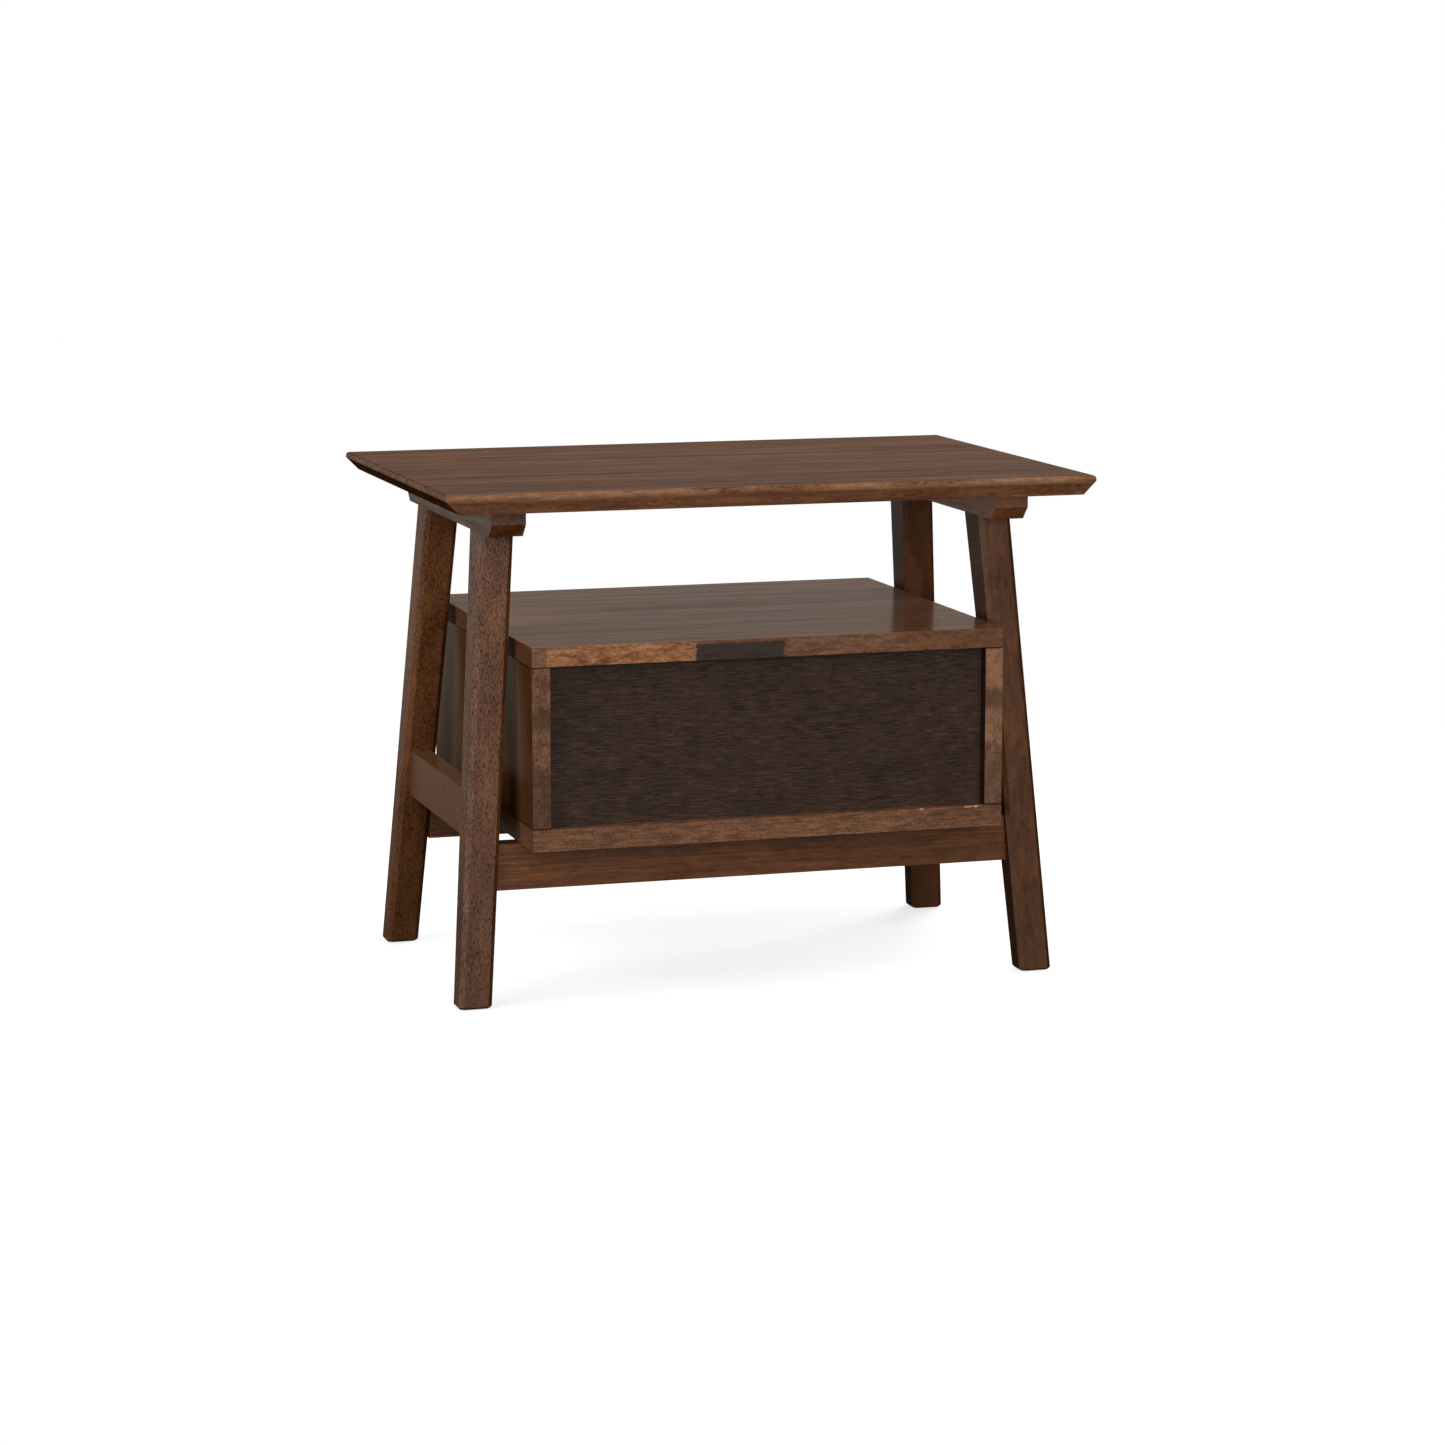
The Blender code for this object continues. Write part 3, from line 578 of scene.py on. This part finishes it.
# Hardware -------------------------------------------------------------------------------------------
def plain(name, colour, roughness, metallic=0.0, relief=0.05):
    """Metal or plastic with slightly uneven colour, gloss and surface."""
    g = Surface(name)
    place = g.coordinate("Object")
    cloud = g.grain(place, 0.003, 0.003, 1.0, 3.0)
    fine = g.grain(place, 0.00025, 0.00025, 2.0)
    dark = tuple(0.80 * c for c in colour)
    tint = g.ramp(g.math("ADD", cloud, 0.5), ((0.35, dark), (0.65, colour)))
    bump = g.add("ShaderNodeBump", {"Height": fine, "Strength": relief, "Distance": RELIEF})
    uneven = g.total(roughness, (0.25, cloud))
    g.set(Base_Color=tint, Roughness=uneven, Metallic=metallic, Normal=bump.outputs[0])
    return g.material


def body_of(node):
    bodies = frame["record"]["behaviour"]["bodies"]
    return next(body for body, nodes in bodies.items() if node in nodes)


def new_object(name, data):
    obj = bpy.data.objects.new(name, data)
    bpy.context.scene.collection.objects.link(obj)
    return obj


def add_piece(name, mesh, material, body, stands_for=None):
    """Adds a piece that rides on a body, and that may stand for a CAD node."""
    piece = new_object(name, mesh)
    mesh.materials.clear()
    mesh.materials.append(material)
    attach(piece, body)
    if stands_for:
        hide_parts(stands_for)


def smooth(mesh):
    """Shades a mesh smoothly, apart from its sharp edges."""
    mesh.shade_smooth()
    mesh.set_sharp_from_angle(angle=SHARP_ANGLE)
    return mesh


def finished_mesh(work, name):
    mesh = bpy.data.meshes.new(name)
    work.to_mesh(mesh)
    work.free()
    return smooth(mesh)


def turned_mesh(name, profile, steps=32):
    """Turns (radius, height) points, which run down the outer side, round the Z axis."""
    work = bmesh.new()
    line = [work.verts.new((radius, 0.0, height)) for radius, height in profile]
    for upper, lower in zip(line, line[1:]):
        work.edges.new((upper, lower))
    geometry = work.verts[:] + work.edges[:]
    bmesh.ops.spin(work, geom=geometry, cent=(0, 0, 0), axis=Z, angle=math.tau, steps=steps)
    bmesh.ops.remove_doubles(work, verts=work.verts, dist=MERGE)
    bmesh.ops.recalc_face_normals(work, faces=work.faces)
    return finished_mesh(work, name)


def box_mesh(name, size, centre, foot):
    """A box whose lower face is foot times as wide as its upper one."""
    work = bmesh.new()
    bmesh.ops.create_cube(work, size=1.0)
    for corner in work.verts:
        x, y, z = corner.co
        taper = foot if z < 0 else 1.0
        corner.co = Vector((x * size[0] * taper, y * size[1] * taper, z * size[2])) + Vector(centre)
    return finished_mesh(work, name)


def with_modifiers(obj):
    """A new mesh of an object's shape after its modifiers."""
    bpy.context.view_layer.update()
    return bpy.data.meshes.new_from_object(obj.evaluated_get(bpy.context.evaluated_depsgraph_get()))


def carve(mesh, cutters):
    """Cuts the cutter meshes out of a mesh and returns the new mesh."""
    blank = new_object("blank", mesh)
    tools = [new_object("tool", cutter) for cutter in cutters]
    for tool in tools:
        boolean = blank.modifiers.new("cut", "BOOLEAN")
        boolean.operation = "DIFFERENCE"
        boolean.object = tool
    carved = with_modifiers(blank)
    for obj in (blank, *tools):
        bpy.data.objects.remove(obj)
    return smooth(carved)


def screw_mesh(name, shank, long, head, head_high, pitch):
    """A pan-head wood screw with a cross recess and a threaded, pointed shank, its head above z = 0."""
    core = 0.70 * shank
    profile = [(0.0, head_high)]
    for angle in (math.radians(15 * turn) for turn in range(1, 6)):
        profile.append((head * math.sin(angle) ** 0.7, head_high * (0.3 + 0.7 * math.cos(angle))))
    profile += [(head, 0.25 * head_high), (head, 0.0), (core, 0.0), (core, -2 * pitch)]
    height = -2 * pitch
    while height > -long + 3 * pitch:
        profile += [(shank, height - pitch / 2), (core, height - pitch)]
        height -= pitch
    profile.append((0.0, -long))

    # The cross has two tapered arms of unequal depth, because faces in one plane would spoil the cut.
    arm = 0.62 * head
    thin = 0.20 * head
    arms = ((2 * arm, thin, 1.6 * head_high), (thin, 2 * arm, 1.5 * head_high))
    recess = [box_mesh("arm", size, (0, 0, head_high), 0.55) for size in arms]
    return carve(turned_mesh(name, profile), recess)


def placed_screw(screw, node, heading, head_high):
    """A copy of a screw mesh, standing where the CAD's screw stands, with its head in that direction."""
    centre = middle(node)
    reach = max(corner.dot(heading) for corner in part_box(node))
    seat = centre + heading * (reach - centre.dot(heading) - head_high)
    mesh = screw.copy()
    mesh.transform(Matrix.Translation(seat) @ Z.rotation_difference(heading).to_matrix().to_4x4())
    return mesh


def add_screws(steel):
    """Gives every CAD screw a real shape. A slide screw's head points away from the board it sits in."""
    for kind, sizes in SCREWS.items():
        screw = screw_mesh(kind, **sizes)
        for node in sorted(name for name in frame["nodes"] if name.startswith(kind)):
            heading = -Z
            if kind == "drawer_front_screw":
                heading = Y
            elif kind == "slide_screw":
                outward = -X if "_left_" in node else X
                heading = outward if "_drawer_" in node else -outward
            mesh = placed_screw(screw, node, heading, sizes["head_high"])
            add_piece(f"{node}_look", mesh, steel, body_of(node), node)


def arc(centre, radius, start, end, steps=5):
    """Points on an arc, with its angles in degrees."""
    turns = [math.radians(start + (end - start) * i / steps) for i in range(steps + 1)]
    return [(centre[0] + radius * math.cos(t), centre[1] + radius * math.sin(t)) for t in turns]


def slot_cutter(place, length):
    """A flat-sided pin that cuts a round-ended slot along Y out of a web that faces X."""
    profile = [(0.0, SLOT_REACH), (SLOT_HALF, SLOT_REACH), (SLOT_HALF, -SLOT_REACH), (0.0, -SLOT_REACH)]
    cutter = turned_mesh("slot", profile, 20)
    for corner in cutter.vertices:
        corner.co.y += math.copysign(length / 2 - SLOT_HALF, corner.co.y)
    cutter.transform(Matrix.Translation(place) @ Matrix.Rotation(math.pi / 2, 4, "Y"))
    return cutter


def slide_member_mesh(node, inward, slots):
    """A rolled steel channel as long as the CAD one, with rounded corners and lips curled round the balls.

    inward is the X direction from the web to the lips, and slots are the (y, length) of the web's slots.
    """
    low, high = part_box(node)
    deep, half = high.x - low.x - SHEET / 2, (high.z - low.z - SHEET) / 2
    upper = arc((BEND, half - BEND), BEND, 180, 90) + arc((deep - CURL, half - CURL), CURL, 90, 20, 3)
    profile = [(depth, -rise) for depth, rise in reversed(upper)] + upper
    web = low.x if inward > 0 else high.x
    middle_z = (low.z + high.z) / 2
    work = bmesh.new()
    rows = []
    for y in (low.y, high.y):
        places = [(web + inward * (depth + SHEET / 2), y, middle_z + rise) for depth, rise in profile]
        rows.append([work.verts.new(place) for place in places])
    for i in range(len(profile) - 1):
        work.faces.new((rows[0][i], rows[0][i + 1], rows[1][i + 1], rows[1][i]))
    sheet = new_object("sheet", finished_mesh(work, f"{node}_sheet"))
    thick = sheet.modifiers.new("thick", "SOLIDIFY")
    thick.thickness = SHEET
    thick.offset = 0.0
    thick.use_even_offset = True
    solid = with_modifiers(sheet)
    bpy.data.objects.remove(sheet)
    return carve(solid, [slot_cutter((web, y, middle_z), length) for y, length in slots])


def ball_cage_mesh(name, x, middle_z, rise, start_y, end_y):
    """Two steel strips, over and under the inner member, each carrying a row of balls."""
    work = bmesh.new()
    middle_y, long = (start_y + end_y) / 2, end_y - start_y
    count = int((long - 2 * BALL_PITCH) / BALL_PITCH)
    for z in (middle_z - rise, middle_z + rise):
        for corner in bmesh.ops.create_cube(work, size=1.0)["verts"]:
            place = (corner.co.x * CAGE_WIDE, corner.co.y * long, corner.co.z * CAGE_THICK)
            corner.co = Vector((x, middle_y, z)) + Vector(place)
        for i in range(count + 1):
            place = Matrix.Translation((x, start_y + BALL_PITCH + i * BALL_PITCH, z))
            bmesh.ops.create_icosphere(work, subdivisions=2, radius=BALL, matrix=place)
    return finished_mesh(work, name)


def add_slides(steel, polished):
    """The slides' rolled members and their ball cages, which travel with the middle members."""
    for side, outward in (("left", -1), ("right", 1)):
        for member, slots in SLIDE_SLOTS.items():
            node = f"slide_{side}_{member}_member"
            inward = outward if member == "drawer" else -outward
            mesh = slide_member_mesh(node, inward, slots)
            add_piece(f"{node}_look", mesh, steel, body_of(node), node)
        outer_low, outer_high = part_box(f"slide_{side}_middle_member")
        inner_low, inner_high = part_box(f"slide_{side}_drawer_member")
        outer_middle, inner_middle = (outer_low + outer_high) / 2, (inner_low + inner_high) / 2
        outer_rise = (outer_high.z - outer_low.z) / 2 + RACE / 2
        inner_rise = (inner_high.z - inner_low.z) / 2 + RACE / 2
        half_way = outer_middle.y
        rows = (
            ("outer", outer_middle.x, outer_rise, half_way + CAGE_END, outer_high.y - CAGE_END),
            ("inner", inner_middle.x, inner_rise, outer_low.y + CAGE_END, half_way - CAGE_END),
        )
        for which, x, rise, start_y, end_y in rows:
            name = f"slide_{side}_{which}_ball_cage"
            mesh = ball_cage_mesh(name, x, outer_middle.z, rise, start_y, end_y)
            add_piece(name, mesh, polished, f"slide_middle_{side}")


def add_glides(nylon):
    """Round nylon glides with softened rims and a dished centre, nailed into the feet's pockets."""
    for node in sorted(name for name in frame["nodes"] if name.startswith("glide")):
        low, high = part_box(node)
        radius = (high.x - low.x) / 2
        dish_top = low.z + GLIDE_DISH
        profile = [(0.0, high.z), (GLIDE_NAIL, high.z - GLIDE_POINT), (GLIDE_NAIL, GLIDE_TOP)]
        profile.append((radius - GLIDE_RIM, GLIDE_TOP))
        profile += arc((radius - GLIDE_RIM, GLIDE_RIM + low.z), GLIDE_RIM, 90, -90, 8)
        profile += [(0.55 * radius, low.z), (0.45 * radius, dish_top), (0.0, dish_top)]
        mesh = turned_mesh(f"{node}_look", profile, 40)
        mesh.transform(Matrix.Translation(((low.x + high.x) / 2, (low.y + high.y) / 2, 0.0)))
        add_piece(f"{node}_look", mesh, nylon, body_of(node), node)


def dress_hardware():
    zinc = plain("zinc_plate", (0.62, 0.62, 0.60), 0.38, 0.75)
    polished = plain("ball_steel", (0.70, 0.70, 0.70), 0.12, 1.0, relief=0.0)
    nylon = plain("nylon", (0.02, 0.02, 0.02), 0.45)
    beech = wood("beech_wood", Vector((0, 0, 0)), X, Z, seed=21.0, tones=PALE, rough=0.55)
    add_screws(zinc)
    add_slides(zinc, polished)
    add_glides(nylon)
    for node in frame["nodes"]:
        if node.startswith("dowel"):
            dress(node, beech)


# Studio ---------------------------------------------------------------------------------------------
def point_at(obj, place, target):
    obj.location = place
    obj.rotation_mode = "QUATERNION"
    obj.rotation_quaternion = (target - place).to_track_quat("-Z", "Y")


def add_camera():
    camera = new_object("camera", bpy.data.cameras.new("camera"))
    camera.data.lens = CAMERA_LENS
    camera.data.sensor_width = CAMERA_SENSOR
    point_at(camera, CAMERA_PLACE, CAMERA_AIM)
    bpy.context.scene.camera = camera


def add_floor():
    """A pale floor that fades out into the white surroundings, and that only the camera sees."""
    mesh = bpy.data.meshes.new("floor")
    corners = [(x * FLOOR_HALF, y * FLOOR_HALF, 0) for x, y in ((-1, -1), (1, -1), (1, 1), (-1, 1))]
    mesh.from_pydata(corners, [], [(0, 1, 2, 3)])
    floor = new_object("floor", mesh)
    g = Surface("pale_floor")
    g.set(Base_Color=(0.5, 0.5, 0.5), Roughness=0.9, Specular_IOR_Level=0.0)
    g.set(Emission_Color=(1.0, 1.0, 1.0), Emission_Strength=FLOOR_GLOW)
    far = g.add("ShaderNodeVectorMath", {0: g.coordinate("Object")}, operation="LENGTH").outputs["Value"]
    seen = g.add("ShaderNodeLightPath", {}).outputs["Is Camera Ray"]
    g.set(Alpha=g.product(seen, g.ease(far, *FLOOR_FADE, 1.0, 0.0)))
    mesh.materials.append(g.material)


def add_softbox(name, place, target, size, power):
    light = bpy.data.lights.new(name, "AREA")
    light.shape = "RECTANGLE"
    light.size, light.size_y = size
    light.energy = power
    box = new_object(name, light)
    box.visible_glossy = False
    point_at(box, Vector(place), Vector(target))


def add_world():
    """A white room to look at, lit as by big soft windows round the table."""
    world = bpy.data.worlds.new("studio")
    bpy.context.scene.world = world
    world.use_nodes = True
    g = Graph(world.node_tree)
    looking = g.coordinate("Generated")
    room = Vector((0.0, 0.0, 0.0))
    for toward, inner, outer, colour in ROOM_LIGHTS.values():
        nearness = g.dot(looking, Vector(toward).normalized())
        glow = g.ease(nearness, math.cos(math.radians(outer)), math.cos(math.radians(inner)))
        inputs = {0: glow, 1: colour, 2: room}
        room = g.add("ShaderNodeVectorMath", inputs, operation="MULTIPLY_ADD").outputs[0]
    above_floor = g.ease(g.parts(looking)[2], *HORIZON)
    room = g.add("ShaderNodeVectorMath", {0: room, "Scale": above_floor}, operation="SCALE").outputs[0]
    seen = g.add("ShaderNodeLightPath", {}).outputs["Is Camera Ray"]
    g.plug(g.tree.nodes["Background"].inputs["Color"], g.mix(seen, room, (1.0, 1.0, 1.0)))


def add_studio():
    add_camera()
    add_floor()
    add_world()
    for name, settings in SOFTBOXES.items():
        add_softbox(name, *settings)
    bpy.context.scene.view_settings.view_transform = "Standard"


add_studio()
dress_hardware()
dress_frame()
dress_case()
dress_drawer()
